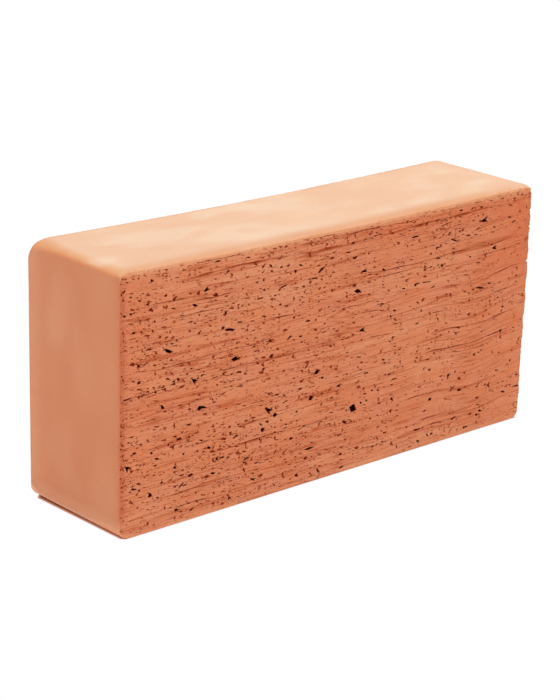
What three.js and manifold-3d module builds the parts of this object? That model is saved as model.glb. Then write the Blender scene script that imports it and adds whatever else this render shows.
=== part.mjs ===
// Solid extruded clay brick, standing on one of its long narrow sides.
//
// The clay column leaves the die with the section drawn in XZ: four die corners, the upper two
// slumped into flat quarter ellipses and the lower two round, and a long upper side that has
// sagged hollow. Wires then cut the column square to Y, which gives the two big bed faces and
// their arrises. The soft clay droops towards both cuts along the upper side, and the upper
// corner at the entry header slumps further towards the back, while the wire fills it up again
// at the front. So the slice is lofted through its thickness, from outlines that sink and shrink
// near the bed faces. The upper vertex behind the entry header is worn round by handling.
//
// Units are millimetres. +X runs from header to header, +Y from bed face to bed face, +Z is up.
// The origin is at the middle of the long narrow side that the brick stands on.

import * as THREE from 'three';
import { mergeVertices } from 'three/addons/utils/BufferGeometryUtils.js';
import Module from 'manifold-3d';

// Driving dimensions: the standard single format
const LENGTH = 250;
const WIDTH = 120;
const THICKNESS = 65;

// Die section, seen along +Y with +X to the right. Each corner has a reach along X and a drop
// along Z.
const UPPER_ENTRY = { reach: 7, drop: 3 };
const UPPER_EXIT = { reach: 3.5, drop: 1.6 };
const LOWER_ENTRY = { reach: 6.5, drop: 6.5 };
const LOWER_EXIT = { reach: 4, drop: 4 };
const UPPER_HOLLOW = 1.4;

// The upper entry corner grows by one share between a place in the thickness and the back cut,
// and the wire fills it up by another at the front cut
const SLUMP_GROWTH = 0.7;
const SLUMP_START = 8;
const FRONT_FILL = 0.55;

// Wire cut: the arris round both bed faces, and how the upper side droops towards them
const ARRIS_RADIUS = 0.8;
const DROOP_REACH = 5;
const DROOP_DEPTH = 1;

// Worn vertex: the ball that is left of it, and how far its centre lies inside the three faces
const WEAR_CENTRE = new THREE.Vector3(8.3, 9, 9.7);
const WEAR_RADIUS = 12;

// Facets
const CORNER_SEGMENTS = 6;
const ARRIS_SEGMENTS = 4;
const DROOP_SEGMENTS = 5;
const SLUMP_SEGMENTS = 5;
const BALL_SEGMENTS = 96;
const CUTTER_CLEARANCE = 2;
const WELD = 1e-6;

const CLAY_COLOUR = '#cb7652';
const CLAY_ROUGHNESS = 0.9;

// One outline of the slice, always with the same number of points. inset is how far it stands
// inside the die's outline, droop how far its upper side has sunk, and slump how much larger its
// upper entry corner is.
function outline(inset, droop, slump) {
  const left = inset - LENGTH / 2;
  const right = LENGTH / 2 - inset;
  const bottom = inset;
  const top = WIDTH - inset - droop;
  const shape = new THREE.Shape();

  const corner = (reach, drop, xSide, zSide, startAngle) => {
    const x = xSide < 0 ? left + reach : right - reach;
    const z = zSide < 0 ? bottom + drop : top - drop;
    shape.absellipse(x, z, reach, drop, startAngle, startAngle + Math.PI / 2, false);
  };

  const entryReach = UPPER_ENTRY.reach * slump;
  const entryDrop = UPPER_ENTRY.drop * slump;
  const hollowEnd = left + entryReach;
  const hollowMiddle = (right - UPPER_EXIT.reach + hollowEnd) / 2;
  corner(LOWER_ENTRY.reach, LOWER_ENTRY.drop, -1, -1, Math.PI);
  corner(LOWER_EXIT.reach, LOWER_EXIT.drop, 1, -1, 1.5 * Math.PI);
  corner(UPPER_EXIT.reach, UPPER_EXIT.drop, 1, 1, 0);
  shape.quadraticCurveTo(hollowMiddle, top - 2 * UPPER_HOLLOW, hollowEnd, top);
  corner(entryReach, entryDrop, -1, 1, Math.PI / 2);
  shape.closePath();

  const points = shape.getPoints(CORNER_SEGMENTS);
  return points.filter((point, step) => (
    point.distanceTo(points[(step + 1) % points.length]) > WELD
  ));
}

// The ring of the loft at one place y in the thickness.
function ringAt(y) {
  const depth = THICKNESS / 2 - Math.abs(y);
  const toArris = Math.max(ARRIS_RADIUS - depth, 0);
  const inset = ARRIS_RADIUS - Math.sqrt(ARRIS_RADIUS ** 2 - toArris ** 2);
  const nearCut = Math.max(1 - depth / DROOP_REACH, 0);
  const towardsBack = THREE.MathUtils.smoothstep(y, SLUMP_START, THICKNESS / 2);
  const filled = y < 0 ? FRONT_FILL * nearCut ** 2 : 0;
  const slump = 1 + SLUMP_GROWTH * towardsBack - filled;
  return { y, points: outline(inset, DROOP_DEPTH * nearCut ** 2, slump) };
}

// Evenly spaced values after start, up to and including end.
function steps(start, end, count) {
  return Array.from({ length: count }, (_, step) => start + ((end - start) * (step + 1)) / count);
}

// Distances from a bed face inwards at which the loft has a ring: close together in the arris.
function bedDepths() {
  const turns = [0, ...steps(0, Math.PI / 2, ARRIS_SEGMENTS)];
  const arris = turns.map((turn) => ARRIS_RADIUS * (1 - Math.cos(turn)));
  return [...arris, ...steps(ARRIS_RADIUS, DROOP_REACH, DROOP_SEGMENTS)];
}

// Skins rings that follow each other along +Y, and closes both ends with a fan.
function loft(rings) {
  const count = rings[0].points.length;
  const positions = rings.flatMap(({ y, points }) => points.flatMap((p) => [p.x, y, p.y]));
  const index = [];
  const corners = (ring, step) => {
    const here = ring * count + step;
    const next = ring * count + ((step + 1) % count);
    return [here, next];
  };
  for (let ring = 0; ring < rings.length - 1; ring += 1) {
    for (let step = 0; step < count; step += 1) {
      const [here, next] = corners(ring, step);
      index.push(here, next + count, next, here, here + count, next + count);
    }
  }
  for (const ring of [0, rings.length - 1]) {
    const hub = positions.length / 3;
    positions.push(0, rings[ring].y, WIDTH / 2);
    for (let step = 0; step < count; step += 1) {
      const [here, next] = corners(ring, step);
      index.push(...(ring === 0 ? [hub, here, next] : [hub, next, here]));
    }
  }
  const geometry = new THREE.BufferGeometry();
  geometry.setAttribute('position', new THREE.Float32BufferAttribute(positions, 3));
  geometry.setIndex(index);
  return geometry;
}

// One slice of the column between two wires.
function columnSlice() {
  const bed = THICKNESS / 2;
  const depths = bedDepths();
  const front = depths.map((depth) => depth - bed);
  const slump = [SLUMP_START, ...steps(SLUMP_START, bed - DROOP_REACH, SLUMP_SEGMENTS)];
  const back = depths.map((depth) => bed - depth).reverse();
  return loft([...front, ...slump.slice(0, -1), ...back].map(ringAt));
}

// What handling has worn off the vertex: its corner block without the ball that is left.
function vertexWaste(wasm) {
  const vertex = new THREE.Vector3(-LENGTH / 2, THICKNESS / 2, WIDTH);
  const inwards = new THREE.Vector3(1, -1, -1);
  const centre = WEAR_CENTRE.clone().multiply(inwards).add(vertex);
  const outside = vertex.clone().addScaledVector(inwards, -CUTTER_CLEARANCE);
  const size = WEAR_CENTRE.clone().addScalar(CUTTER_CLEARANCE);
  const middle = centre.clone().add(outside).multiplyScalar(0.5);
  const block = new THREE.BoxGeometry(size.x, size.y, size.z);
  const ball = new THREE.SphereGeometry(WEAR_RADIUS, BALL_SEGMENTS, BALL_SEGMENTS / 2);
  block.translate(middle.x, middle.y, middle.z);
  ball.translate(centre.x, centre.y, centre.z);
  return toSolid(wasm, block).subtract(toSolid(wasm, ball));
}

function toSolid(wasm, geometry) {
  const bare = geometry.clone();
  bare.deleteAttribute('normal');
  bare.deleteAttribute('uv');
  const welded = mergeVertices(bare);
  return new wasm.Manifold(new wasm.Mesh({
    numProp: 3,
    vertProperties: new Float32Array(welded.attributes.position.array),
    triVerts: new Uint32Array(welded.index.array),
  }));
}

function toGeometry(solid) {
  const mesh = solid.getMesh();
  const geometry = new THREE.BufferGeometry();
  geometry.setAttribute('position', new THREE.BufferAttribute(mesh.vertProperties, 3));
  geometry.setIndex(new THREE.BufferAttribute(mesh.triVerts, 1));
  geometry.computeVertexNormals();
  return geometry;
}

const wasm = await Module();
wasm.setup();

const clay = toSolid(wasm, columnSlice()).subtract(vertexWaste(wasm));

const brick = new THREE.Mesh(
  toGeometry(clay),
  new THREE.MeshStandardMaterial({
    color: CLAY_COLOUR,
    roughness: CLAY_ROUGHNESS,
    metalness: 0,
  }),
);
brick.name = 'brick';

const part = new THREE.Group();
part.add(brick);

export default part;
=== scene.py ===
"""A solid clay brick, extruded, wire-cut and fired but unglazed, standing on a long narrow side.

Lengths on the brick are written in millimetres and turned into metres where Blender needs them.
+X runs from header to header, +Y from bed face to bed face and +Z up. The wire entered the clay at
the header on the left, at -X, and left it at +X.
"""

import math
import random

import bpy
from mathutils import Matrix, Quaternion, Vector


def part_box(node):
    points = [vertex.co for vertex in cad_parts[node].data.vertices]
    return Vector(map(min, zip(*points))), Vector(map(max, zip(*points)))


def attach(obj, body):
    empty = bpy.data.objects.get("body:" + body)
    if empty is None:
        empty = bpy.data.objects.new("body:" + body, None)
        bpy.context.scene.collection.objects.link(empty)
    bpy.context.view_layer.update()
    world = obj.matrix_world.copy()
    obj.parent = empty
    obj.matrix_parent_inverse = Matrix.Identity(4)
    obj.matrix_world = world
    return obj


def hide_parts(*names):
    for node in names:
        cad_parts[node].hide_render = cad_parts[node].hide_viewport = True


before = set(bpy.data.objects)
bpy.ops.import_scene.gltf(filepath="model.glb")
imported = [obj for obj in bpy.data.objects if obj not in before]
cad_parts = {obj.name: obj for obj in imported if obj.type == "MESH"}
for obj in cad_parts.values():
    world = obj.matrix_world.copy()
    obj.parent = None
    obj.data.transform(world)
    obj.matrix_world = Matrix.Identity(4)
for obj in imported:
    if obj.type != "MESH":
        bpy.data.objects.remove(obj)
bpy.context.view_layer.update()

MM = 0.001

# The slice of clay: its size, and the reach and drop of the die's four corners
blank_low, blank_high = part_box("brick")
LENGTH, THICKNESS, WIDTH = ((blank_high - blank_low) / MM)[:]
HALF_LENGTH = LENGTH / 2
HALF_THICKNESS = THICKNESS / 2
UPPER_ENTRY = (7.0, 3.0)
UPPER_EXIT = (3.5, 1.6)
LOWER_ENTRY = (6.1, 6.1)
LOWER_EXIT = (4.0, 4.0)
CORNER_SEGMENTS = 12

# The upper entry corner grows by one share between a place in the thickness and the back cut,
# and the wire has filled it up by another at the front cut
SLUMP_GROWTH = 0.7
SLUMP_START = 8.0
FRONT_FILL = 0.55

# The upper side is hollow and droops towards both cuts. The clay gives way between two heights.
UPPER_HOLLOW = 1.4
DROOP_REACH = 5.0
DROOP_DEPTH = 1.0
SAG_START = WIDTH - 40.0
SAG_END = WIDTH - 3.0

# The arris that the wire leaves round both bed faces
ARRIS_RADIUS = 0.4
ARRIS_SEGMENTS = 3

# Worn vertex: the ball that is left of it, and how far its centre lies inside the three faces
WEAR_CENTRE = (8.3, 9.0, 9.7)
WEAR_RADIUS = 12.0

# Mesh: its cells before the relief, its triangles before pits are cut, what counts as one place,
# what keeps a divisor from being 0, and the sharpest bend that is shaded smooth
VOXEL = 0.5
RELIEF_TRIANGLES = 88000
SAME_PLACE = 0.01
NEVER_ZERO = 0.0001
SMOOTH_ANGLE = math.radians(35)

# Camera: where it stands, what it looks at, its roll in degrees, its lens and its sensor
CAMERA_PLACE = (-648.0, -716.2, 379.1)
CAMERA_AIM = (-5.0, 1.3, 53.1)
CAMERA_ROLL = 1.48
CAMERA_LENS = 112.2
SENSOR_WIDTH = 36.0


# --- Node maths -----------------------------------------------------------------------------

# Where a Mix node keeps its factor, its two colours and its mixed colour
MIX_FACTOR, MIX_FIRST, MIX_SECOND, MIX_RESULT = 0, 6, 7, 2


class Wire:
    """One output socket of a node tree. Python sums on wires add Math nodes to the tree."""

    def __init__(self, graph, socket):
        self.graph = graph
        self.socket = socket

    def math(self, operation, *others):
        return self.graph.add("ShaderNodeMath", {"operation": operation}, [self, *others])

    def __add__(self, other):
        return self.math("ADD", other)

    __radd__ = __add__

    def __mul__(self, other):
        return self.math("MULTIPLY", other)

    __rmul__ = __mul__

    def __sub__(self, other):
        return self.math("SUBTRACT", other)

    def __rsub__(self, other):
        return self.graph.add("ShaderNodeMath", {"operation": "SUBTRACT"}, [other, self])

    def __truediv__(self, other):
        return self.math("DIVIDE", other)

    def __rtruediv__(self, other):
        return self.graph.add("ShaderNodeMath", {"operation": "DIVIDE"}, [other, self])

    def __neg__(self):
        return self * -1.0

    def __abs__(self):
        return self.math("ABSOLUTE")

    def __pow__(self, other):
        return self.math("POWER", other)

    def least(self, other):
        return self.math("MINIMUM", other)

    def most(self, other):
        return self.math("MAXIMUM", other)

    def ramp(self, start, end):
        """0 below start, 1 above end and a smooth rise between them. start may lie above end."""
        settings = {"interpolation_type": "SMOOTHSTEP"}
        values = {"Value": self, "From Min": start, "From Max": end}
        return self.graph.add("ShaderNodeMapRange", settings, values)

    def above_zero(self):
        """0 where the value is 0, and 1 as soon as it is clearly above 0."""
        return (self * 1000.0).least(1.0)


class Graph:
    """A shader or geometry node tree that is being written."""

    def __init__(self, tree):
        self.tree = tree

    def add(self, kind, settings=None, inputs=None, output=0):
        """Adds a node. Settings are set first, then sockets by name or by place."""
        node = self.tree.nodes.new(kind)
        for name, value in (settings or {}).items():
            if name == "stops":
                self.set_stops(node.color_ramp, value)
            else:
                setattr(node, name, value)
        pairs = inputs.items() if isinstance(inputs, dict) else enumerate(inputs or [])
        for key, value in pairs:
            if isinstance(value, Wire):
                self.tree.links.new(value.socket, node.inputs[key])
            else:
                node.inputs[key].default_value = value
        return Wire(self, node.outputs[output]) if node.outputs else None

    @staticmethod
    def set_stops(ramp, stops):
        while len(ramp.elements) < len(stops):
            ramp.elements.new(1.0)
        for element, (place, colour) in zip(ramp.elements, stops):
            element.position = place
            element.color = colour

    def point(self, x, y, z):
        return self.add("ShaderNodeCombineXYZ", None, [x, y, z])

    def split(self, vector):
        first = self.add("ShaderNodeSeparateXYZ", None, [vector])
        return [Wire(self, socket) for socket in first.socket.node.outputs]

    def scaled(self, vector, factor):
        settings = {"operation": "SCALE"}
        return self.add("ShaderNodeVectorMath", settings, {0: vector, "Scale": factor})

    def noise(self, place, scale=1.0, detail=2.0, roughness=0.5, output=0):
        """Soft noise around 0.5. scale is in lumps per unit of place."""
        values = {"Vector": place, "Scale": scale, "Detail": detail, "Roughness": roughness}
        return self.add("ShaderNodeTexNoise", None, values, output)

    def blend(self, factor, first, second, way="MIX"):
        """Colour mix."""
        settings = {"data_type": "RGBA", "blend_type": way}
        inputs = {MIX_FACTOR: factor, MIX_FIRST: first, MIX_SECOND: second}
        return self.add("ShaderNodeMix", settings, inputs, MIX_RESULT)


# --- Where things lie on the brick ----------------------------------------------------------


def smooth(value, start, end):
    """The ramp of a Wire, for a Wire or for a known number."""
    if isinstance(value, Wire):
        return value.ramp(start, end)
    share = min(max((value - start) / (end - start), 0.0), 1.0)
    return share * share * (3.0 - 2.0 * share)


def wire_lift(x, z):
    """How far above its first level the cutting wire has risen at x, in millimetres.

    It swings up and down before the exit header, and less so near the upper side.
    """
    lower = smooth(x, 35.0, 62.0) - smooth(x, 62.0, 92.0) * 1.6
    lower = lower + smooth(x, 86.0, 125.0) * 3.6
    upper = smooth(x, 35.0, 82.0) * 0.7 + smooth(x, 95.0, 125.0) * 1.7
    return lower + smooth(z, 78.0, 92.0) * (upper - lower)


def slump(y):
    """How large the upper entry corner is: larger at the back cut and filled at the front one."""
    front = (1.0 - (y + HALF_THICKNESS) / DROOP_REACH).most(0.0)
    return y.ramp(SLUMP_START, HALF_THICKNESS) * SLUMP_GROWTH + 1.0 - front * front * FRONT_FILL


def sunk(x, y):
    """How far the soft clay of the upper side has sunk: hollow in the middle, drooping to the cuts."""
    left = UPPER_ENTRY[0] - HALF_LENGTH
    right = HALF_LENGTH - UPPER_EXIT[0]
    across = (x - (left + right) / 2) / ((right - left) / 2)
    hollow = (1.0 - across * across).most(0.0) * UPPER_HOLLOW
    near_cut = (1.0 - (HALF_THICKNESS - abs(y)) / DROOP_REACH).most(0.0)
    return hollow + near_cut * near_cut * DROOP_DEPTH


def corner_frame(x, y, z, corner, x_side, z_side, grows):
    """Place in one die corner, in shares of its reach and drop, counted from its centre outwards.

    Gives the reach and drop too. grows is for the corner whose size changes with y.
    """
    reach, drop = corner
    if grows:
        reach, drop = slump(y) * reach, slump(y) * drop
    along = ((x * x_side - HALF_LENGTH + reach) / reach).most(0.0)
    height = z - WIDTH if z_side > 0 else -z
    up = ((height + drop) / drop).most(0.0)
    return along, up, reach, drop


def from_ball(x, y, z):
    """The way out from the centre of the ball that the worn vertex has left, and its length."""
    dx = (x + HALF_LENGTH - WEAR_CENTRE[0]).least(0.0)
    dy = (y - HALF_THICKNESS + WEAR_CENTRE[1]).most(0.0)
    dz = (z - WIDTH + WEAR_CENTRE[2]).most(0.0)
    return dx, dy, dz, (dx * dx + dy * dy + dz * dz) ** 0.5


def inside_outline(x, y, z, unsunk):
    """How far a point lies under the skin of the narrow sides, in millimetres.

    unsunk is z with what the upper side has sunk put back.
    """
    inside = (HALF_LENGTH - abs(x)).least(unsunk.least(WIDTH - unsunk))
    corners = [
        (UPPER_ENTRY, -1.0, 1.0, True),
        (UPPER_EXIT, 1.0, 1.0, False),
        (LOWER_ENTRY, -1.0, -1.0, False),
        (LOWER_EXIT, 1.0, -1.0, False),
    ]
    for corner, x_side, z_side, grows in corners:
        along, up, reach, drop = corner_frame(x, y, unsunk, corner, x_side, z_side, grows)
        square = along * along + up * up + NEVER_ZERO
        scale = (along * along * reach + up * up * drop) / square
        here = (1.0 - square ** 0.5) * scale
        inside = inside + (along * up).above_zero() * (here - inside)
    return inside.least(WEAR_RADIUS - from_ball(x, y, z)[3])


class Place:
    """Where a point of the brick lies. unsunk is z with what the upper side has sunk put back."""

    def __init__(self, graph, x, y, z, unsunk):
        self.graph = graph
        self.x, self.y, self.z = x, y, z
        self.side = y.math("SIGN")
        self.below_bed = HALF_THICKNESS - abs(y)
        self.inside = inside_outline(x, y, z, unsunk)
        self.level = unsunk - wire_lift(x, unsunk)

    def streaks(self, along, across, layer, detail=2.0, roughness=0.5, seed=0.0):
        """Noise that follows the wire's path. layer tells the two bed faces and patterns apart."""
        spot = self.graph.point(self.x * along, self.side * layer + seed, self.level * across)
        return self.graph.noise(spot, detail=detail, roughness=roughness)


# --- Shaping --------------------------------------------------------------------------------


def pick_only(piece):
    """Selects one object alone and makes it the active one."""
    bpy.ops.object.select_all(action="DESELECT")
    piece.select_set(True)
    bpy.context.view_layer.objects.active = piece


def pick_nothing_on(piece, kind):
    """Picks a piece with nothing selected on it, ready for points or edges to be selected."""
    pick_only(piece)
    bpy.ops.object.mode_set(mode="EDIT")
    bpy.ops.mesh.select_mode(type=kind)
    bpy.ops.mesh.select_all(action="DESELECT")
    bpy.ops.object.mode_set(mode="OBJECT")


def pick_edges(piece, wanted):
    """Goes into edit mode with the wanted edges selected. wanted is asked about both their ends."""
    pick_nothing_on(piece, "EDGE")
    points = piece.data.vertices
    for edge in piece.data.edges:
        edge.select = wanted([points[end].co / MM for end in edge.vertices])
    bpy.ops.object.mode_set(mode="EDIT")


def apply_modifier(piece, kind, **settings):
    pick_only(piece)
    modifier = piece.modifiers.new(kind.title(), kind)
    for name, value in settings.items():
        setattr(modifier, name, value)
    bpy.ops.object.modifier_apply(modifier=modifier.name)


def near(value, target):
    return abs(value - target) < SAME_PLACE


def cut_blank():
    """One slice of the clay column between two wires, with its lower corners and its arrises."""
    centre = (blank_low + blank_high) / 2
    bpy.ops.object.select_all(action="DESELECT")
    bpy.ops.mesh.primitive_cube_add(size=1, location=centre, scale=blank_high - blank_low)
    blank = bpy.context.object
    blank.name = "fired_brick"
    bpy.ops.object.transform_apply(location=True, rotation=False, scale=True)
    for x, (radius, _) in ((-HALF_LENGTH, LOWER_ENTRY), (HALF_LENGTH, LOWER_EXIT)):
        pick_edges(blank, lambda ends: all(near(p.x, x) and near(p.z, 0.0) for p in ends))
        bpy.ops.mesh.bevel(offset=radius * MM, segments=CORNER_SEGMENTS, affect="EDGES")
        bpy.ops.object.mode_set(mode="OBJECT")
    pick_edges(blank, lambda ends: all(near(abs(p.y), HALF_THICKNESS) for p in ends))
    bpy.ops.mesh.bevel(offset=ARRIS_RADIUS * MM, segments=ARRIS_SEGMENTS, affect="EDGES")
    bpy.ops.object.mode_set(mode="OBJECT")
    apply_modifier(blank, "REMESH", mode="VOXEL", voxel_size=VOXEL * MM, use_smooth_shade=True)
    return blank


def slumped(x, y, z, corner, x_side, grows):
    """Pulls what stands out of an upper corner onto its flat quarter ellipse."""
    along, up, reach, drop = corner_frame(x, y, z, corner, x_side, 1.0, grows)
    both = (along * up).above_zero()
    beyond = (1.0 - 1.0 / (along * along + up * up).most(1.0) ** 0.5) * both
    return x - beyond * along * reach * x_side, z - beyond * up * drop


def torn_arris(graph, at, entry):
    """How deep the arrises have crumbled: most along the upper side, least on the entry header."""
    arris = (at.inside + at.below_bed).ramp(2.4, 0.3)
    spot = graph.point(at.x, at.y, at.z)
    lumps = graph.noise(spot, scale=0.35, detail=3.0, roughness=0.65)
    crumbs = graph.noise(spot, scale=1.0, detail=2.0, roughness=0.6)
    care = (0.15 + at.z.ramp(WIDTH - 8.0, WIDTH) * 0.85) * (1.0 - entry * 0.85)
    return arris * (lumps.ramp(0.48, 0.75) * 0.9 + crumbs.ramp(0.5, 0.8) * 0.5) * care


def dragged_bed(at, bed):
    """How deep the bed faces are dragged along the wire's path, with long plucks."""
    drag = at.streaks(0.03, 0.32, 7.0, detail=3.0, roughness=0.6)
    pluck = at.streaks(0.09, 0.42, 3.0)
    return bed * ((drag - 0.5) * 0.40 + pluck.ramp(0.62, 0.8) * 0.08)


def exit_burr(graph, at, x, z):
    """How far the arris where the wire left stands out: it wanders, with a burr on its upper half."""
    spot = graph.point(z * 0.13, at.side * 5.0, 0.5)
    wander = graph.noise(spot, detail=3.0, roughness=0.65) - 0.5
    below_top = z.ramp(WIDTH + 2.0, WIDTH - 5.0)
    arris = x.ramp(HALF_LENGTH - 5.0, HALF_LENGTH) * at.below_bed.ramp(7.0, 0.5) * below_top
    return arris * (wander * 3.4 + z.ramp(15.0, 90.0) * 0.9 + 0.35)


def relief_tree():
    """Geometry nodes that slump, drag and crumble the blank."""
    tree = bpy.data.node_groups.new("wire-cut relief", "GeometryNodeTree")
    tree.interface.new_socket("Clay", in_out="INPUT", socket_type="NodeSocketGeometry")
    tree.interface.new_socket("Clay", in_out="OUTPUT", socket_type="NodeSocketGeometry")
    graph = Graph(tree)
    clay = graph.add("NodeGroupInput")
    x, y, z = graph.split(graph.scaled(graph.add("GeometryNodeInputPosition"), 1 / MM))
    normal_x, normal_y, normal_z = graph.split(graph.add("GeometryNodeInputNormal"))
    x, z = slumped(x, y, z, UPPER_ENTRY, -1.0, True)
    x, z = slumped(x, y, z, UPPER_EXIT, 1.0, False)
    at = Place(graph, x, y, z, z)

    # The cut and crumbled clay lies deeper, and the narrow sides hardly swell
    entry = x.ramp(4.0 - HALF_LENGTH, -HALF_LENGTH)
    bed = at.inside.ramp(0.3, 2.0) * at.below_bed.ramp(2.5, 0.6)
    swell = (graph.noise(graph.point(x, y, z), scale=0.028, detail=1.0) - 0.5) * 0.4 * (1.0 - bed)
    inward = torn_arris(graph, at, entry) + dragged_bed(at, bed) + swell
    x = x - normal_x * inward
    y = y - normal_y * inward
    z = z - normal_z * inward

    # The wire's exit, and the entry header, which bulges a little at its foot and its back
    x = x + exit_burr(graph, at, x, z)
    x = x - entry * (z.ramp(110.0, 20.0) * 0.15 + y.ramp(10.0, HALF_THICKNESS) * 0.25)

    # The upper side sinks, and the vertex behind the entry header is worn to a ball
    z = z - z.ramp(SAG_START, SAG_END) * sunk(x, y)
    out_x, out_y, out_z, distance = from_ball(x, y, z)
    worn = 1.0 - WEAR_RADIUS / distance.most(WEAR_RADIUS)
    shape = graph.point(x - worn * out_x, y - worn * out_y, z - worn * out_z)
    values = {"Geometry": clay, "Position": graph.scaled(shape, MM)}
    shaped = graph.add("GeometryNodeSetPosition", None, values)
    graph.add("NodeGroupOutput", None, {0: shaped})
    return tree


def shape_brick():
    brick = cut_blank()
    apply_modifier(brick, "NODES", node_group=relief_tree())
    triangles = len(brick.data.polygons) * 2
    apply_modifier(brick, "DECIMATE", ratio=RELIEF_TRIANGLES / triangles)
    return brick


# --- Tears, pits and grooves -----------------------------------------------------------------

# Main pits of the front bed face: x, z, length along the wire, height, tilt in degrees and, for
# some, which of the grain shapes left it
FRONT_PITS = [
    (-61.0, 69.5, 5.0, 2.2, 10, 7), (-80.4, 51.3, 4.6, 2.2, -15), (-41.2, 41.0, 4.2, 2.4, -35, 1),
    (-37.3, 38.1, 2.4, 1.8, 0), (-60.0, 33.4, 3.0, 1.4, 20), (-57.0, 32.4, 3.4, 1.4, -10),
    (-44.4, 32.7, 1.7, 3.0, 0), (-98.7, 80.9, 3.6, 2.4, 10), (-78.0, 104.6, 2.8, 2.2, 25),
    (-107.8, 113.7, 1.8, 1.5, 0), (-71.9, 116.0, 2.2, 1.0, 0), (-64.7, 83.8, 4.6, 1.5, -10),
    (-34.3, 97.7, 5.0, 1.1, 5), (-15.7, 98.0, 3.4, 1.0, -5), (-11.6, 101.4, 3.6, 1.7, 30),
    (-47.6, 94.9, 3.2, 0.9, 0), (-24.2, 105.8, 2.4, 1.1, 0), (-18.9, 57.4, 2.8, 1.5, 15),
    (-12.4, 53.2, 3.4, 1.8, 20), (-15.7, 41.3, 2.8, 1.9, 25), (-29.6, 73.4, 3.0, 1.4, 30),
    (-27.8, 71.2, 1.6, 2.6, 0), (-23.0, 72.4, 2.4, 1.1, 0), (-44.8, 61.4, 2.4, 1.0, 25),
    (-44.6, 59.8, 2.2, 1.0, -25), (-84.1, 64.3, 3.0, 2.0, -40), (-80.0, 66.1, 1.8, 1.2, 0),
    (-101.5, 56.4, 1.8, 2.2, -40), (-112.4, 63.9, 1.4, 2.2, -30), (-120.7, 64.0, 3.4, 1.0, 5),
    (-120.5, 32.5, 2.6, 2.6, -40), (-91.0, 17.7, 1.8, 2.6, -30), (-108.2, 16.9, 1.8, 2.6, 0),
    (-84.9, 4.8, 2.8, 1.5, -10), (-93.4, 6.6, 2.8, 1.4, 0), (-53.7, 21.2, 2.8, 1.3, 10),
    (-15.9, 16.9, 5.6, 1.0, 0), (-10.0, 4.6, 2.4, 1.8, -20), (-49.4, 10.1, 2.6, 1.4, -20),
    (-94.6, 26.9, 2.0, 1.6, 0), (-70.7, 25.2, 1.8, 2.2, 0), (-117.3, 92.7, 1.6, 1.3, 0),
    (67.5, 109.7, 8.0, 0.7, 5),
    (-92.6, 39.6, 1.5, 1.5, 0), (-50.5, 73.2, 2.2, 1.0, 10), (-36.3, 47.7, 2.0, 1.1, 0),
    (93.5, 107.4, 3.8, 2.6, 5, 0), (101.6, 92.4, 2.8, 2.2, 0, 0), (15.4, 96.1, 3.2, 1.8, 0, 0),
    (15.4, 67.9, 3.2, 2.2, 0), (11.2, 87.2, 3.6, 1.6, -10), (10.9, 30.5, 4.2, 3.2, -30),
    (47.0, 106.8, 3.6, 1.1, 0), (61.9, 98.9, 2.4, 1.4, 0), (63.2, 93.8, 2.8, 1.1, 0),
    (73.3, 100.9, 3.8, 1.1, -22), (49.0, 83.5, 3.2, 1.5, 0), (55.9, 83.3, 4.6, 0.7, -5),
    (60.3, 80.2, 3.2, 0.9, 15), (92.7, 73.7, 6.0, 1.3, -3), (53.3, 69.8, 1.3, 1.7, 0),
    (35.0, 60.1, 1.8, 1.6, 0), (1.6, 43.7, 2.4, 1.6, 0), (27.4, 94.5, 2.4, 1.4, 0),
    (113.4, 16.1, 3.2, 1.3, 0), (97.6, 9.6, 2.8, 1.4, 0), (87.3, 3.4, 3.2, 1.4, -10),
    (54.1, 9.9, 3.6, 1.3, 0), (109.3, 48.7, 1.7, 2.4, -30), (91.3, 40.2, 1.8, 1.8, 0),
    (4.9, 106.6, 2.0, 0.8, 0), (7.7, 110.5, 2.4, 1.1, 20), (110.9, 105.8, 2.4, 1.0, 0),
    (89.1, 103.9, 2.4, 1.0, 0), (115.8, 116.5, 1.3, 0.8, -15), (118.9, 116.1, 1.1, 0.9, 0),
    (84.6, 114.4, 2.4, 0.8, 20),
    (77.0, 25.8, 3.2, 1.3, 15), (82.0, 24.2, 2.4, 1.8, 0), (73.8, 33.1, 1.5, 1.9, -30),
    (60.7, 38.8, 1.8, 1.6, -20), (50.9, 63.9, 2.2, 1.0, 0), (64.6, 63.5, 1.8, 1.3, -20),
    (26.9, 35.8, 2.0, 1.0, 0), (18.6, 45.9, 2.4, 1.1, 0), (37.2, 39.2, 3.0, 0.9, 0),
    (61.9, 23.6, 1.8, 2.0, 0), (102.8, 22.0, 1.6, 3.0, 0), (44.1, 89.4, 2.8, 0.7, -10),
    (55.1, 3.6, 2.0, 1.6, -30), (4.9, 2.6, 3.0, 1.4, -15),
]

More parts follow.
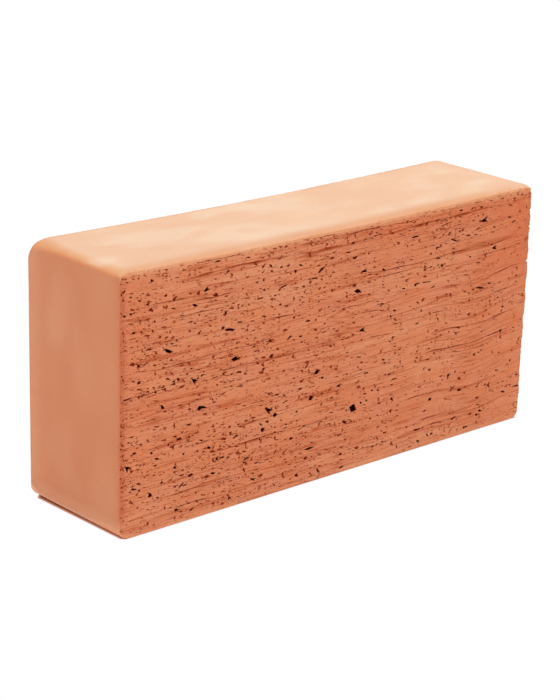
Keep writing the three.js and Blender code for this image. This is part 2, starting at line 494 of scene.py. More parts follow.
# Main drag grooves of the front bed face: first x, last x, level, width, depth
FRONT_GROOVES = [
    (-93.5, -22.0, 111.6, 1.7, 1.0), (-36.0, 28.0, 110.7, 1.9, 0.9),
    (11.0, 77.0, 111.6, 1.7, 1.0), (60.0, 106.0, 112.1, 1.5, 1.0),
    (-27.0, 0.0, 115.1, 1.3, 0.8), (-4.0, 56.0, 115.1, 0.8, 0.8),
    (-82.0, -55.0, 117.3, 0.5, 1.0), (-27.0, -1.0, 116.8, 0.5, 1.0),
    (-107.6, -88.0, 102.8, 0.5, 1.2),
    (-96.0, -77.0, 95.1, 0.5, 1.2), (-96.0, -60.0, 100.7, 0.6, 1.2),
    (-122.0, -40.0, 74.2, 0.4, 1.2), (-119.0, -100.0, 64.4, 0.8, 1.2),
    (-78.0, -18.0, 65.6, 0.4, 1.2), (-44.0, -25.0, 84.2, 0.5, 1.2),
    (-90.5, -73.5, 34.8, 0.6, 1.2), (-56.5, -47.0, 37.7, 0.7, 1.2), (-70.0, 0.0, 29.2, 0.5, 1.2),
    (-109.0, -58.0, 14.2, 0.5, 1.2), (-96.0, -73.0, 7.8, 0.5, 1.2),
    (-53.0, -42.0, 46.4, 0.6, 1.2), (6.5, 121.0, 93.9, 0.5, 1.2), (0.0, 57.0, 91.2, 0.4, 1.2),
    (31.0, 73.0, 66.4, 0.4, 1.2), (0.0, 16.0, 66.2, 0.6, 1.2), (18.6, 34.0, 62.8, 0.6, 1.2),
    (57.5, 121.5, 56.3, 0.7, 1.2), (44.5, 121.5, 47.2, 0.8, 1.2), (70.0, 104.5, 44.3, 0.5, 1.2),
    (75.0, 121.0, 68.5, 0.5, 1.2), (95.5, 121.0, 78.2, 0.6, 1.2), (91.0, 121.0, 89.4, 0.5, 1.2),
    (52.0, 93.0, 13.6, 0.5, 1.2), (56.0, 97.0, 9.8, 0.5, 1.2), (14.6, 36.0, 9.0, 0.5, 1.2),
    (43.7, 69.6, 26.4, 0.6, 1.2), (0.0, 27.0, 80.8, 0.4, 1.2), (12.0, 27.0, 75.8, 0.5, 1.2),
]

# Chips of the front arris where the wire left: z, length, height
EXIT_CHIPS = [
    (9.3, 2.6, 1.6), (24.6, 1.4, 1.2), (35.8, 1.4, 2.2), (47.5, 1.2, 1.0), (66.8, 2.0, 1.6),
    (81.6, 2.2, 1.6), (91.0, 1.2, 2.4), (99.0, 1.6, 1.4), (107.2, 1.5, 1.2),
]
CHIP_PLACE = HALF_LENGTH + 0.6

# Outlines of the grains that the wire plucks out: how far each of eight directions reaches,
# starting along the wire
GRAIN_OUTLINES = [
    (0.25, 1.00, 0.60, 0.60, 1.00, 0.55, 0.55, 0.90),
    (1.00, 0.75, 0.40, 0.80, 1.00, 0.65, 0.55, 0.60),
    (1.00, 0.80, 0.75, 0.85, 1.00, 0.45, 0.20, 0.40),
    (1.00, 0.35, 0.95, 0.85, 0.50, 0.60, 0.45, 0.65),
    (0.85, 0.65, 0.95, 0.70, 0.85, 0.60, 0.90, 0.75),
    (0.45, 1.10, 0.60, 0.35, 0.50, 1.05, 0.55, 0.30),
]
GRAIN_TURN = 45
GRAIN_SEED = 3

# The bed faces: -1 is the front one and 1 the back one. Each has random pits: single ones, small
# ones under the upper arris and along the arris where the wire entered, and crowds of small ones.
FRONT, BACK = -1, 1
SINGLE_PITS = {FRONT: 42, BACK: 130}
UPPER_PITS = 30
ENTRY_PITS = 26
PIT_CROWDS = 115
PLUCKING_SEED = 41
GRAIN_GAP = 0.27

# Grooves of the back bed face, from the foot upwards
BACK_GROOVES = 30
FIRST_BACK_GROOVE = 4
BACK_GROOVE_SPACING = 3.7
DRAGGING_SEED = 7


def grit_shapes():
    """Grains like an arrow head, a bat, a hook, a boot, a lump and a slash, each also upside down.

    They are one metre wide and are scaled down where they are set.
    """
    shapes = []
    for number in range(2 * len(GRAIN_OUTLINES)):
        reaches = GRAIN_OUTLINES[number // 2]
        turning = GRAIN_TURN if number % 2 else -GRAIN_TURN
        bpy.ops.object.select_all(action="DESELECT")
        bpy.ops.mesh.primitive_cylinder_add(
            vertices=len(reaches), radius=0.5, depth=1.0, rotation=(math.pi / 2, math.radians(-90), 0.0)
        )
        grain = bpy.context.object
        bpy.ops.object.transform_apply(location=False, rotation=True, scale=False)
        for step, reach in enumerate(reaches):
            turn = math.radians(turning * step)
            way = Vector((math.cos(turn), math.sin(turn))) * 0.5
            pick_edges(grain, lambda ends: all((p.xz * MM - way).length < 0.05 for p in ends))
            bpy.ops.transform.resize(value=(reach, 1.0, reach), center_override=(0.0, 0.0, 0.0))
            bpy.ops.object.mode_set(mode="OBJECT")
        bpy.ops.object.mode_set(mode="EDIT")
        bpy.ops.mesh.select_all(action="SELECT")
        bpy.ops.transform.vertex_random(
            offset=0.05, uniform=0.6, normal=0.4, seed=number + GRAIN_SEED
        )
        bpy.ops.object.mode_set(mode="OBJECT")
        shapes.append(grain)
    return shapes


def set_grain(grain, x, z, size, tilt, side):
    """One copy of a grain, half sunk in a bed face at x, z. size is length, depth and height."""
    copy = grain.copy()
    copy.data = grain.data.copy()
    bpy.context.scene.collection.objects.link(copy)
    copy.location = Vector((x, side * HALF_THICKNESS, z)) * MM
    copy.rotation_euler = (0.0, math.radians(-tilt), 0.0)
    copy.scale = Vector(size) * MM
    return copy


def cut_away(brick, cutters, name):
    """Joins the cutters into one piece, and takes it off the brick."""
    pick_only(cutters[0])
    for cutter in cutters:
        cutter.select_set(True)
    bpy.ops.object.transform_apply(location=True, rotation=True, scale=True)
    bpy.ops.object.join()
    joined = bpy.context.object
    joined.name = name
    apply_modifier(brick, "BOOLEAN", object=joined, operation="DIFFERENCE", solver="MANIFOLD")
    bpy.data.objects.remove(joined)


def top_height(x):
    """Height of the upper side at x, where it meets a bed face."""
    across = x / HALF_LENGTH
    return WIDTH - DROOP_DEPTH - UPPER_HOLLOW * (1.0 - across * across)


def spared(x, z):
    """The share of pits that the wire did not pluck, below the upper band and towards its exit."""
    return smooth(x, -25.0, 45.0) * (0.45 + 0.15 * smooth(z, WIDTH - 12.0, WIDTH - 26.0))


class Plucking:
    """The grains that the wire plucks out of the bed faces, none of them too near another."""

    def __init__(self, shapes):
        self.shapes = shapes
        self.draw = random.Random(PLUCKING_SEED)
        self.grains = []
        self.taken = []

    def put(self, x, z, length, height, tilt, side, kind=None):
        """Sets one grain, unless an earlier one is too near. kind says which shape it has."""
        gap = (length + height) * GRAIN_GAP
        if any(s == side and math.hypot(x - a, z - b) < gap + g for a, b, g, s in self.taken):
            return
        self.taken.append((x, z, gap, side))
        depth = min(length, height) * 1.4 + 1.3
        drawn = self.draw.choice(self.shapes)
        grain = drawn if kind is None else self.shapes[kind]
        self.grains.append(set_grain(grain, x, z, (length, depth, height), tilt, side))

    def main_pits(self):
        for z, length, height in EXIT_CHIPS:
            self.put(CHIP_PLACE, z, length * 1.4, height * 1.2, 0.0, FRONT)
        for x, z, length, height, tilt, *kind in FRONT_PITS:
            self.put(x, z, length * 1.5, height * 1.5, tilt, FRONT, *kind)

    def single_pits(self, side):
        draw = self.draw
        for _ in range(SINGLE_PITS[side]):
            x = draw.uniform(-HALF_LENGTH + 4, HALF_LENGTH - 4)
            z = draw.uniform(4, WIDTH - 5)
            length = draw.uniform(1.8, 4.6)
            height = draw.uniform(1.1, 2.6)
            if draw.random() > spared(x, z):
                self.put(x, z, length, height, draw.gauss(-7, 15), side)

    def upper_pits(self, side):
        draw = self.draw
        for _ in range(UPPER_PITS):
            x = draw.uniform(-HALF_LENGTH + 3, HALF_LENGTH - 3)
            z = top_height(x) - draw.uniform(1.5, 4.5)
            length = draw.uniform(0.8, 2.4)
            self.put(x, z, length, draw.uniform(0.5, 1.0), draw.uniform(-10, 30), side)

    def entry_pits(self, side):
        draw = self.draw
        for _ in range(ENTRY_PITS):
            x = draw.uniform(0.9, 2.6) - HALF_LENGTH
            z = draw.uniform(4, WIDTH - 8)
            length = draw.uniform(0.7, 1.3)
            self.put(x, z, length, draw.uniform(0.7, 2.0), draw.uniform(-25, 25), side)

    def pit_crowds(self, side):
        draw = self.draw
        for _ in range(PIT_CROWDS):
            middle_x = draw.uniform(-HALF_LENGTH + 4, HALF_LENGTH - 4)
            middle_z = draw.uniform(3, WIDTH - 5)
            for _ in range(draw.randint(1, 9)):
                x = middle_x + draw.gauss(0.0, 4.0)
                z = middle_z + draw.gauss(0.0, 2.5)
                if abs(x) > HALF_LENGTH - 2 or not 2 < z < WIDTH - 4:
                    continue
                if draw.random() < spared(x, z):
                    continue
                length = 0.9 + draw.random() ** 2 * 2.0
                height = length * draw.uniform(0.35, 0.85)
                self.put(x, z, length, height, draw.gauss(-6, 14), side)


def cut_pits(brick):
    shapes = grit_shapes()
    plucking = Plucking(shapes)
    plucking.main_pits()
    for side in (FRONT, BACK):
        plucking.single_pits(side)
        plucking.upper_pits(side)
        plucking.entry_pits(side)
        plucking.pit_crowds(side)
    cut_away(brick, plucking.grains, "plucked grit")
    for shape in shapes:
        bpy.data.objects.remove(shape)


def groove_cutter(first, last, level, width, depth, side):
    """A thin prism along the wire's path, which swells, wanders and tapers out at both ends."""
    steps = max(4, int((last - first) / 4))
    bpy.ops.object.select_all(action="DESELECT")
    bpy.ops.mesh.primitive_cylinder_add(
        vertices=5, radius=0.5, depth=1.0, end_fill_type="TRIFAN", rotation=(0.0, math.pi / 2, 0.0)
    )
    groove = bpy.context.object
    bpy.ops.object.transform_apply(location=False, rotation=True, scale=False)
    pick_edges(groove, lambda ends: not near(ends[0].x, ends[1].x))
    bpy.ops.mesh.subdivide(number_cuts=steps)
    bpy.ops.object.mode_set(mode="OBJECT")
    for point in groove.data.vertices:
        share = point.co.x + 0.5
        x = first + (last - first) * share
        ends = min(1.0, 6.0 * min(share, 1.0 - share)) * 0.9 + 0.1
        swell = ends * (0.75 + 0.45 * math.sin(x * 0.31 + level) * math.sin(x * 0.13 - level))
        wander = 0.35 * math.sin(x * 0.11 + level * 3.0) + 0.15 * math.sin(x * 0.37 + level)
        point.co = (
            x * MM,
            (side * HALF_THICKNESS + point.co.y * depth * (0.4 + 0.8 * swell) * ends) * MM,
            (level + wander + wire_lift(x, level) + point.co.z * width * swell) * MM,
        )
    return groove


def cut_grooves(brick):
    draw = random.Random(DRAGGING_SEED)
    cutters = [groove_cutter(*groove, FRONT) for groove in FRONT_GROOVES]
    for row in range(BACK_GROOVES):
        first = draw.uniform(-HALF_LENGTH + 4, HALF_LENGTH - 40)
        last = min(first + draw.uniform(12, 60), HALF_LENGTH - 4)
        level = FIRST_BACK_GROOVE + row * BACK_GROOVE_SPACING
        width = draw.uniform(0.4, 0.9)
        cutters.append(groove_cutter(first, last, level, width, 1.8 - width, BACK))
    cut_away(brick, cutters, "drag grooves")


def drop_seam_points(brick):
    """Takes out the points that only two faces share.

    The cuts leave them, and thin slivers would fold back on themselves there. Without them the two
    faces meet in one straight edge.
    """
    pick_nothing_on(brick, "VERT")
    meetings = [0] * len(brick.data.vertices)
    for edge in brick.data.edges:
        for end in edge.vertices:
            meetings[end] += 1
    for point, count in zip(brick.data.vertices, meetings):
        point.select = count == 2
    bpy.ops.object.mode_set(mode="EDIT")
    bpy.ops.mesh.dissolve_verts()
    bpy.ops.object.mode_set(mode="OBJECT")


# --- Finish ---------------------------------------------------------------------------------

BODY_CLAY = (0.626, 0.195, 0.086, 1.0)
PINK_CLAY = (0.631, 0.212, 0.105, 1.0)
SANDY_CLAY = (0.660, 0.252, 0.122, 1.0)
# Red clay of smears and of the entry arris, also painted shade in shallow hollows, thin grooves and at
# the floor
RED_CLAY_AND_SHADE = (0.430, 0.072, 0.021, 1.0)
WARM_CLAY = (0.610, 0.150, 0.061, 1.0)
TORN_CLAY = (0.370, 0.068, 0.023, 1.0)
TAN_CLAY = (0.715, 0.300, 0.150, 1.0)
# Painted shade of the deeper and the deepest parts of pits
DEEPER_SHADE = (0.190, 0.016, 0.004, 1.0)
DEEPEST_SHADE = (0.058, 0.008, 0.003, 1.0)
LIT_ARRIS_CLAY = (0.800, 0.340, 0.175, 1.0)
PALE_SKIN = (0.725, 0.312, 0.172, 1.0)
# Skin with only part of its painted sheen: painted shade on the drooping upper side, and the colour of
# the rags of skin
SKIN_HALF_SHEEN = (0.715, 0.345, 0.182, 1.0)
LIGHT_CLOUD = (0.820, 0.570, 0.400, 1.0)
PALE_END = (0.800, 0.490, 0.320, 1.0)
ARRIS_CLAY = (0.560, 0.172, 0.078, 1.0)
FLOOR_LIT_FOOT = (0.930, 0.520, 0.340, 1.0)
FLOOR_LIT_FRONT_FOOT = (0.860, 0.385, 0.205, 1.0)

# Skin of the narrow sides by how far it tilts away from level: level skin is painted palest, a painted
# sheen that fades as the skin tilts away
SKIN_SHEEN_BY_TILT = [
    (0.00, (0.800, 0.503, 0.328, 1.0)),
    (0.12, (0.770, 0.440, 0.262, 1.0)),
    (0.25, (0.735, 0.378, 0.202, 1.0)),
    (0.36, (0.725, 0.340, 0.158, 1.0)),
    (0.68, (0.680, 0.260, 0.110, 1.0)),
    (1.00, (0.660, 0.243, 0.116, 1.0)),
]


def new_material(name):
    material = bpy.data.materials.new(name)
    material.use_nodes = True
    material.node_tree.nodes.clear()
    return material, Graph(material.node_tree)


def strokes(graph, x, level, spacing, stretch, height, thickness, share, crowd, seed):
    """Small arrow heads, strokes and dots, one at most for each cell of a loose net.

    stretch is how much longer they and their net are along the wire, and share how much of the
    net holds a mark where crowd is 0.5. Some marks are darker than others.
    """
    across, up = x / (spacing * stretch) + seed, level / spacing + seed
    values = {"Vector": graph.point(across, up, 0.0), "Scale": 1.0, "Randomness": 0.9}
    settings = {"voronoi_dimensions": "2D", "feature": "F1"}
    net = graph.add("ShaderNodeTexVoronoi", settings, values, "Position")
    cell_x, cell_up, _ = graph.split(net)

    # Six random numbers of the cell, three of them shuffled out of the others
    first, second, third = graph.split(Wire(graph, net.socket.node.outputs["Color"]))
    fourth = (first * 17.3).math("FRACT")
    flat = (first * 41.9).math("FRACT")
    slant = (second * 29.3).math("FRACT")

    dx = (across - cell_x) * spacing
    dz = (up - cell_up) * spacing + dx * 0.12
    bend = (second - 0.2) * 1.3
    lean = (slant - 0.5) * 1.2
    tall = (third * third * 0.9 + 0.3) * height * (1.2 - flat * 0.9)
    wide = (second * 0.8 + 0.6) * (0.5 + flat * 2.3)
    body = (1.0 - (dz / tall) ** 2.0).most(-1.0) * thickness * wide
    away = abs(dx - abs(dz) * bend - dz * lean) - body
    present = (first - share - (crowd - 0.5) * 1.6).ramp(0.04, -0.04)
    strong = (fourth + flat * 0.5) * 0.575
    return away.ramp(0.22, -0.12) * present * (strong * strong + 0.44)


def threads(at, along, across, width, seed):
    """Thin, long, broken lines: where a stretched noise crosses its middle."""
    crossing = abs(at.streaks(along, across, 4.0, detail=1.5, roughness=0.4, seed=seed) - 0.5)
    parts = at.streaks(0.04, 0.3, 6.0, seed=seed)
    return crossing.ramp(width, width * 0.15) * parts.ramp(0.42, 0.60)


def cut_clay(graph, at, drag, grain):
    """Colour of the bed faces between their marks."""
    x, z = at.x, at.z
    colour = graph.blend(at.streaks(0.05, 0.09, 9.0).ramp(0.38, 0.62), PINK_CLAY, BODY_CLAY)
    bands = at.streaks(0.012, 0.16, 2.0)
    colour = graph.blend(bands.ramp(0.45, 0.70) * 0.7, colour, SANDY_CLAY)
    raised = at.below_bed.ramp(0.02, -0.22)
    colour = graph.blend(raised * 0.35, colour, SANDY_CLAY)

    # Lighter and darker clay. What is darker is redder too.
    blotch = at.streaks(0.20, 0.45, 4.0)
    contrast = 0.36 - x.ramp(40.0, 115.0) * 0.14
    shade = 1.078 + (drag - 0.5) * contrast + (grain - 0.5) * 0.41 + (blotch - 0.5) * 0.26
    exit_middle = x.ramp(100.0, HALF_LENGTH) * z.ramp(80.0, 60.0)
    # Towards the foot the clay is painted lighter: painted light near the floor
    shade = shade + z.ramp(22.0, 3.0) * 0.08 + exit_middle * 0.05
    deepened = graph.point(shade ** 0.7, shade ** 1.3, shade ** 1.7)
    colour = graph.blend(1.0, colour, deepened, "MULTIPLY")

    # Warmer ends, most where the wire left, and a warmer upper band next to that end
    leaving = x.ramp(HALF_LENGTH - 55.0, HALF_LENGTH - 5.0) * (0.25 + z.ramp(66.0, 86.0) * 0.45)
    arriving = x.ramp(30.0 - HALF_LENGTH, 5.0 - HALF_LENGTH) * 0.25
    upper_band = z.ramp(WIDTH - 18.0, WIDTH - 8.0) * x.ramp(-10.0, 50.0) * 0.5
    warm = graph.blend(1.0, WARM_CLAY, deepened, "MULTIPLY")
    colour = graph.blend(leaving.most(arriving).most(upper_band), colour, warm)

    # Red smears, and the red arris where the wire entered
    smear = at.streaks(0.08, 0.5, 3.0)
    entering = x.ramp(4.5 - HALF_LENGTH, 1.5 - HALF_LENGTH) * z.ramp(6.0, 12.0) * 0.42
    redder = (smear.ramp(0.58, 0.80) * (0.26 - x.ramp(10.0, 60.0) * 0.12)).most(entering)
    return graph.blend(redder, colour, RED_CLAY_AND_SHADE)


def upper_arris(graph, at):
    """Two masks: the softer, sandier clay next to the upper side, and rags of its skin over it."""
    x, z = at.x, at.z
    spot = graph.point(x * 0.4, at.side * 3.0, z * 0.6)
    ragged = graph.noise(spot, detail=3.0, roughness=0.7)
    between_ends = abs(x).ramp(HALF_LENGTH - 0.5, HALF_LENGTH - 3.5)
    at_top = z.ramp(WIDTH - 4.0, WIDTH - 2.2)
    upper_part = z.ramp(WIDTH - 12.0, WIDTH - 6.0) * between_ends.most(at_top)
    soft_edge = (at.inside - x.ramp(60.0, 110.0) * 1.2).ramp(3.4, 0.8) * upper_part
    rags = (at.inside + (ragged - 0.5) * 3.0).ramp(1.2, 0.6) * upper_part
    return soft_edge, rags


def drag_lines(at):
    """Mask of the thin drag lines, which fade near the upper entry corner and the wire's exit."""
    lines = threads(at, 0.011, 0.24, 0.024, 0.0)
    closer = threads(at, 0.012, 0.50, 0.032, 3.0)
    longer = threads(at, 0.005, 0.34, 0.022, 5.0)
    entry_corner = at.x.ramp(-84.0, -98.0) * at.z.ramp(98.0, 106.0)
    calm = entry_corner.most(at.x.ramp(60.0, 115.0) * 0.45)
    return (lines * 0.75).most(closer * 0.53).most(longer * 0.66) * (1.0 - calm * 0.8)


def plucked_specks(graph, at):
    """Mask of the specks that the wire plucked: they come in crowds and in three sizes."""
    x, z, side = at.x, at.z, at.side
    spot = graph.point(x, side * 20.0, at.level)
    wobble = graph.noise(spot, scale=0.9, detail=4.0, roughness=0.6, output="Color")
    wobble_x, _, wobble_z = graph.split(wobble)
    rough_x = x + (wobble_x - 0.5) * 2.0 + side * 40.0
    rough_z = at.level + (wobble_z - 0.5) * 1.6
    lower_part = z.ramp(WIDTH - 12.0, WIDTH - 26.0)
    crowd = at.streaks(0.05, 0.07, 6.0) + z.ramp(WIDTH - 8.0, WIDTH - 2.0) * 0.04
    crowd = crowd - x.ramp(-25.0, 45.0) * (lower_part * 0.08 + 0.05)
    large = strokes(graph, rough_x, rough_z, 3.8, 1.2, 1.1, 0.46, 0.43, crowd, 0.0)
    small = strokes(graph, rough_x, rough_z, 1.9, 1.6, 0.52, 0.28, 0.37, crowd, 7.3)
    tiny = strokes(graph, rough_x, rough_z, 1.0, 1.9, 0.30, 0.18, 0.42, crowd, 3.9)
    return large.most(small).most(tiny * 0.55)


def dragged_clay(graph, at):
    """Colour and relief of the bed faces, where the wire dragged, smeared and plucked the clay."""
    x, z, below_bed = at.x, at.z, at.below_bed
    drag = at.streaks(0.022, 1.2, 5.0, detail=3.0, roughness=0.65)
    grain = at.streaks(0.9, 1.4, 8.0, detail=2.5, roughness=0.7)
    soft_edge, rags = upper_arris(graph, at)
    scored = drag_lines(at)
    specks = plucked_specks(graph, at) * (1.0 - rags)
    colour = cut_clay(graph, at, drag, grain)
    colour = graph.blend(soft_edge * 0.6, colour, TAN_CLAY)
    # Thin drag lines painted red-brown: painted shade in their shallow grooves
    colour = graph.blend(scored, colour, RED_CLAY_AND_SHADE)
    # Plucked specks: red-brown rims, and centres painted dark as the shade in the little pits
    colour = graph.blend(specks.ramp(0.0, 0.32) * 0.85, colour, TORN_CLAY)
    colour = graph.blend(specks.ramp(0.22, 0.70), colour, DEEPER_SHADE)
    colour = graph.blend(specks.ramp(0.65, 1.0), colour, DEEPEST_SHADE)
    colour = graph.blend(rags * 0.8, colour, SKIN_HALF_SHEEN)

    # Painted light along the lower arris, broken up by the grain, and a painted contact shadow where it
    # touches the floor
    spot = graph.point(x * 0.03, at.side * 4.0, 0.0)
    foot_light = graph.noise(spot, detail=1.0).ramp(0.45, 0.65)
    foot_light = foot_light.most(x.ramp(14.0 - HALF_LENGTH, 4.0 - HALF_LENGTH))
    low = (below_bed + z).ramp(3.6, 0.8) * grain.ramp(0.25, 0.5)
    colour = graph.blend(low * (foot_light * 0.55 + 0.4), colour, LIT_ARRIS_CLAY)
    contact_shadow = x.ramp(-62.0, -38.0) * x.ramp(68.0, 44.0) * z.ramp(1.0, 0.3)
    colour = graph.blend(contact_shadow * 0.8, colour, RED_CLAY_AND_SHADE)

    # Painted shade: the deeper a groove or a pit, the darker it is painted
    cut_in = at.inside.ramp(0.6, 1.6)
    colour = graph.blend(below_bed.ramp(0.18, 0.46) * cut_in * 0.8, colour, RED_CLAY_AND_SHADE)
    colour = graph.blend(below_bed.ramp(0.40, 0.75) * cut_in, colour, DEEPER_SHADE)
    colour = graph.blend(below_bed.ramp(0.60, 1.00) * cut_in, colour, DEEPEST_SHADE)
    relief = drag * 0.6 + grain * 0.4 - scored * 0.5 - specks * 1.2
    return colour, relief


def upright_skin(graph, x, y, z, upwards, sideways):
    """Colour of the die skin, most of all on the headers, with a painted sheen where it lies level."""
    tilt = (1.0 - upwards * upwards).most(0.0) ** 0.5
    skin = graph.add("ShaderNodeValToRGB", {"stops": SKIN_SHEEN_BY_TILT}, {"Fac": tilt})

    # Paler patches and back edge, and a foot painted paler: painted light from the floor
    patch = graph.noise(graph.point(x * 0.03, y * 0.05, z * 0.03), detail=2.0)
    back = y.ramp(HALF_THICKNESS - 14.0, HALF_THICKNESS - 1.0)
    foot = z.ramp(12.0, 5.0)
    paler = (patch.ramp(0.45, 0.75) * 0.35).most(back * 0.75).most(foot * 0.8) * tilt
    skin = graph.blend(paler, skin, PALE_SKIN)
    # Painted light: the lowest few millimetres are painted palest, most on the entry half
    ends = (y.ramp(-8.0, -24.0) * 2.0).most(y.ramp(24.0, HALF_THICKNESS) * 2.5)
    foot_light = (z - ends).ramp(5.0, 1.0) * (0.35 + x.ramp(HALF_LENGTH, 0.0) * 0.65)
    floor_lit_clay = graph.blend(y.ramp(-8.0, -24.0), FLOOR_LIT_FOOT, FLOOR_LIT_FRONT_FOOT)
    skin = graph.blend(foot_light, skin, floor_lit_clay)

    # Redder clay towards the front cut, and in the arrises of the entry header
    above_foot = z.ramp(5.0, 12.0)
    near_front = y.ramp(6.0 - HALF_THICKNESS, -HALF_THICKNESS) * tilt ** 4.0
    skin = graph.blend(near_front * above_foot * 0.5, skin, BODY_CLAY)
    turning = abs(sideways).ramp(0.05, 0.6) * x.ramp(0.0, -HALF_LENGTH)
    arris = turning * above_foot * z.ramp(WIDTH - 2.0, WIDTH - 5.0)
    return graph.blend(arris, skin, ARRIS_CLAY)


def die_skin(graph, x, y, z):
    """Colour of the narrow sides, which the die polished."""
    normal = graph.add("ShaderNodeTexCoord", None, None, "Normal")
    _, sideways, upwards = graph.split(normal)
    upwards = upwards.most(0.0)
    skin = upright_skin(graph, x, y, z, upwards, sideways)

    # Upper side: pale clouds, painted shade where it droops to the front cut, palest at the exit
    level_skin = upwards ** 8.0
    cloud = graph.noise(graph.point(x * 0.032, y * 0.055, z * 0.02 + 7.0), detail=1.5)
    skin = graph.blend(cloud.ramp(0.42, 0.62) * level_skin * 0.75, skin, LIGHT_CLOUD)
    drooping = (y + abs(x).ramp(50.0, 115.0) * 2.5).ramp(-20.0, -32.0)
    skin = graph.blend(drooping * level_skin, skin, SKIN_HALF_SHEEN)
    exit_end = x.ramp(HALF_LENGTH - 16.0, HALF_LENGTH - 5.0) * z.ramp(WIDTH - 6.0, WIDTH - 3.0)
    skin = graph.blend(exit_end * 0.7, skin, PALE_END)

    broad = graph.noise(graph.point(x * 0.035, y * 0.05, z * 0.03), detail=1.5)
    rubbed = graph.noise(graph.point(x, y, z), scale=0.8, detail=2.0, roughness=0.7)
    shade = 1.0 + (broad - 0.5) * 0.25 + (rubbed - 0.5) * 0.15
    return graph.blend(1.0, skin, graph.point(shade ** 0.4, shade, shade ** 1.1), "MULTIPLY")


def clay_surface(graph, colour, roughness, shine, height, strength, depth):
    """A matt surface with fine relief. depth is in millimetres."""
    values = {"Strength": strength, "Distance": depth * MM, "Height": height}
    bump = graph.add("ShaderNodeBump", None, values)
    values = {
        "Base Color": colour,
        "Roughness": roughness,
        "Specular IOR Level": shine,
        "Normal": bump,
    }
    return graph.add("ShaderNodeBsdfPrincipled", None, values)


def fired_clay():
    """Unglazed terracotta: dragged and pitted on the bed faces, smooth and paler on the sides."""
    material, graph = new_material("fired clay")
    place = graph.scaled(graph.add("ShaderNodeTexCoord", None, None, "Object"), 1 / MM)
    x, y, z = graph.split(place)
    at = Place(graph, x, y, z, z + z.ramp(SAG_START, SAG_END) * sunk(x, y))
    colour, relief = dragged_clay(graph, at)
    cut_face = clay_surface(graph, colour, 0.95, 0.05, relief, 0.6, 0.3)
    pores = graph.noise(place, scale=1.6, detail=3.0, roughness=0.6)
    side_face = clay_surface(graph, die_skin(graph, x, y, z), 0.75, 0.3, pores, 0.25, 0.05)

    # The bed faces end where the skin of the narrow sides begins, and at the torn exit arris
    facing = abs(graph.split(graph.add("ShaderNodeTexCoord", None, None, "Normal"))[1])
    below_top = z.ramp(WIDTH - 2.0, WIDTH - 4.5)
    torn_edge = x.ramp(HALF_LENGTH - 4.0, HALF_LENGTH - 2.0) * facing.ramp(0.3, 0.5) * below_top
    bed = at.inside.ramp(0.25, 0.6).most(facing.ramp(0.75, 0.95)).most(torn_edge)
    surface = graph.add("ShaderNodeMixShader", None, [bed, side_face, cut_face])
    graph.add("ShaderNodeOutputMaterial", None, {"Surface": surface})
    return material


# --- Stage ----------------------------------------------------------------------------------

WHITE = (1.0, 1.0, 1.0, 1.0)
PAPER_GREY = (0.9, 0.9, 0.9, 1.0)
ROOM_GREY = (0.475, 0.475, 0.475, 1.0)

# The floor right under the brick, painted darker and redder round its contact shadow: how far this
# painted shadow reaches in each direction, how much askew its end at the entry header is, and where its
# corners are cut off
SHADOW_ENTRY = 123.1
SHADOW_SKEW = 0.02
SHADOW_EXIT = 124.5
SHADOW_SIDE = 31.95
SHADOW_CORNER = 152.8
DEEP_FLOOR_SHADOW = (0.430, 0.145, 0.075, 1.0)
MID_FLOOR_SHADOW = (0.720, 0.270, 0.150, 1.0)
FAINT_FLOOR_SHADOW = (0.950, 0.580, 0.460, 1.0)

# In metres and watts: the floor, and the softboxes with their places and powers
FLOOR_SIZE = 8.0
SOFTBOX_SIZE = 1.0
SOFTBOX_AIM = (0.0, 0.0, 0.06)
SOFTBOXES = [
    ("top softbox", (0.2, 0.1, 1.6), 15.2),
    ("left softbox", (-1.3, -0.7, 0.25), 7.6),
    ("front softbox", (0.1, -1.3, 0.10), 5.7),
]


def seen_rays(graph):
    """1 for rays that show the background: to the camera, in reflections and through glass."""
    camera = graph.add("ShaderNodeLightPath", None, None, "Is Camera Ray")
    outputs = camera.socket.node.outputs
    glossy = Wire(graph, outputs["Is Glossy Ray"])
    return camera.most(glossy).most(Wire(graph, outputs["Is Transmission Ray"]))


def white_paper():
    """Paper that shows pure white, apart from the shadow under the brick, which is painted darker and
    redder there.
    """
    material, graph = new_material("white paper floor")
    x, y, _ = graph.split(graph.add("ShaderNodeTexCoord", None, None, "Object"))
    x, y = x / MM, y / MM
    entry, side = -x - y * SHADOW_SKEW - SHADOW_ENTRY, abs(y) - SHADOW_SIDE
    beyond = entry.most(x - SHADOW_EXIT).most(side).most(abs(y) - x - SHADOW_CORNER)
    seen = seen_rays(graph)
    # Painted shadow: the floor near the foot is painted dark red-brown, fading outwards
    near_shadow = graph.blend(y.ramp(16.0, -24.0), DEEP_FLOOR_SHADOW, MID_FLOOR_SHADOW)
    painted_shadow = graph.blend(beyond.ramp(-2.4, 0.2), near_shadow, FAINT_FLOOR_SHADOW)
    colour = graph.blend(seen, PAPER_GREY, painted_shadow)
    paper = graph.add("ShaderNodeBsdfDiffuse", None, {"Color": colour})
    white = graph.add("ShaderNodeEmission", None, {"Color": WHITE, "Strength": 1.0})
    plain = seen * beyond.ramp(-0.6, 0.9)
    surface = graph.add("ShaderNodeMixShader", None, [plain, paper, white])
    graph.add("ShaderNodeOutputMaterial", None, {"Surface": surface})
    return material


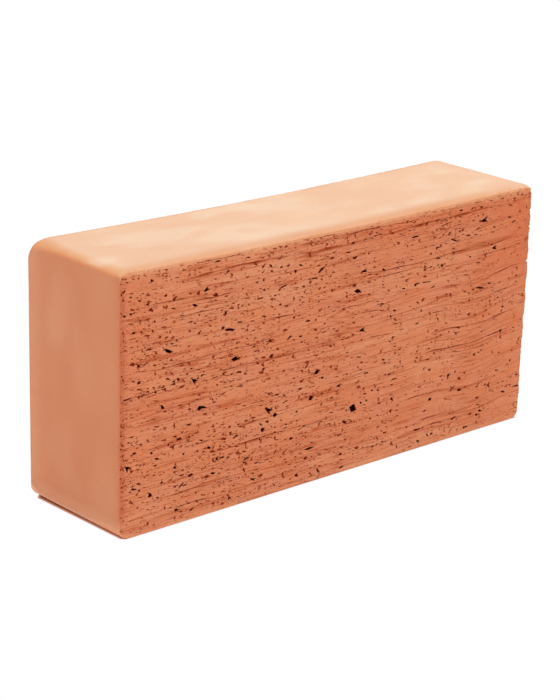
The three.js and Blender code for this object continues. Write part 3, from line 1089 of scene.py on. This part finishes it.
def lay_floor():
    bpy.ops.object.select_all(action="DESELECT")
    bpy.ops.mesh.primitive_plane_add(size=FLOOR_SIZE, location=(0.0, 0.0, 0.0))
    floor = bpy.context.object
    floor.name = "studio_floor"
    floor.data.materials.append(white_paper())


def hang_lamp(name, place, power):
    lamp = bpy.data.lights.new(name, "AREA")
    lamp.size = SOFTBOX_SIZE
    lamp.energy = power
    holder = bpy.data.objects.new(name, lamp)
    bpy.context.scene.collection.objects.link(holder)
    holder.location = place
    holder.rotation_euler = (Vector(SOFTBOX_AIM) - Vector(place)).to_track_quat("-Z", "Y").to_euler()


def light_studio():
    world = bpy.data.worlds.new("white room")
    bpy.context.scene.world = world
    world.use_nodes = True
    graph = Graph(world.node_tree)
    world.node_tree.nodes.clear()
    colour = graph.blend(seen_rays(graph), ROOM_GREY, WHITE)
    surface = graph.add("ShaderNodeBackground", None, {"Color": colour, "Strength": 1.0})
    graph.add("ShaderNodeOutputWorld", None, {"Surface": surface})
    for name, place, power in SOFTBOXES:
        hang_lamp(name, place, power)


def set_camera():
    camera = bpy.data.cameras.new("camera")
    camera.lens = CAMERA_LENS
    camera.sensor_width = SENSOR_WIDTH
    camera.clip_start = 0.05
    camera.clip_end = 50.0
    holder = bpy.data.objects.new("camera", camera)
    bpy.context.scene.collection.objects.link(holder)
    place, aim = Vector(CAMERA_PLACE) * MM, Vector(CAMERA_AIM) * MM
    holder.location = place
    holder.rotation_mode = "QUATERNION"
    roll = Quaternion((0.0, 0.0, 1.0), math.radians(CAMERA_ROLL))
    holder.rotation_quaternion = (aim - place).to_track_quat("-Z", "Y") @ roll
    bpy.context.scene.camera = holder


set_camera()
light_studio()
lay_floor()

brick = shape_brick()
cut_grooves(brick)
cut_pits(brick)
drop_seam_points(brick)
pick_only(brick)
bpy.ops.object.shade_smooth_by_angle(angle=SMOOTH_ANGLE)
brick.data.materials.clear()
brick.data.materials.append(fired_clay())
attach(brick, "root")
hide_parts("brick")

bpy.context.scene.view_settings.view_transform = "Standard"
